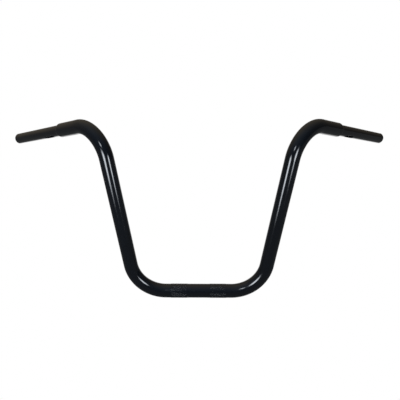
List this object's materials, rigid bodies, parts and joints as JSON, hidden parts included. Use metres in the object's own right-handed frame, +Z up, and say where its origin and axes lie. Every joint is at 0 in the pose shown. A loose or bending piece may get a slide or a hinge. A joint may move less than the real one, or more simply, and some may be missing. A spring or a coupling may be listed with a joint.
{
  "type": "ape hanger handlebar",
  "caption": "Tall motorbike ape hanger handlebar: a bent fat steel tube in gloss black, with swept-back stepped-down grip ends and knurled bands for the riser clamps.",
  "frame": {"origin": "middle of the base on the tube's axis, halfway between the two riser clamps", "axes": "+X along the base towards the rider's left, +Y back towards the rider, where the grips point, +Z up in the plane of the two legs"},
  "size_m": [0.9344, 0.262, 0.4056],
  "materials": {
    "gloss_black": "gloss"
  },
  "bodies": {
    "root": {"handlebar": "gloss_black"}
  },
  "joints": []
}
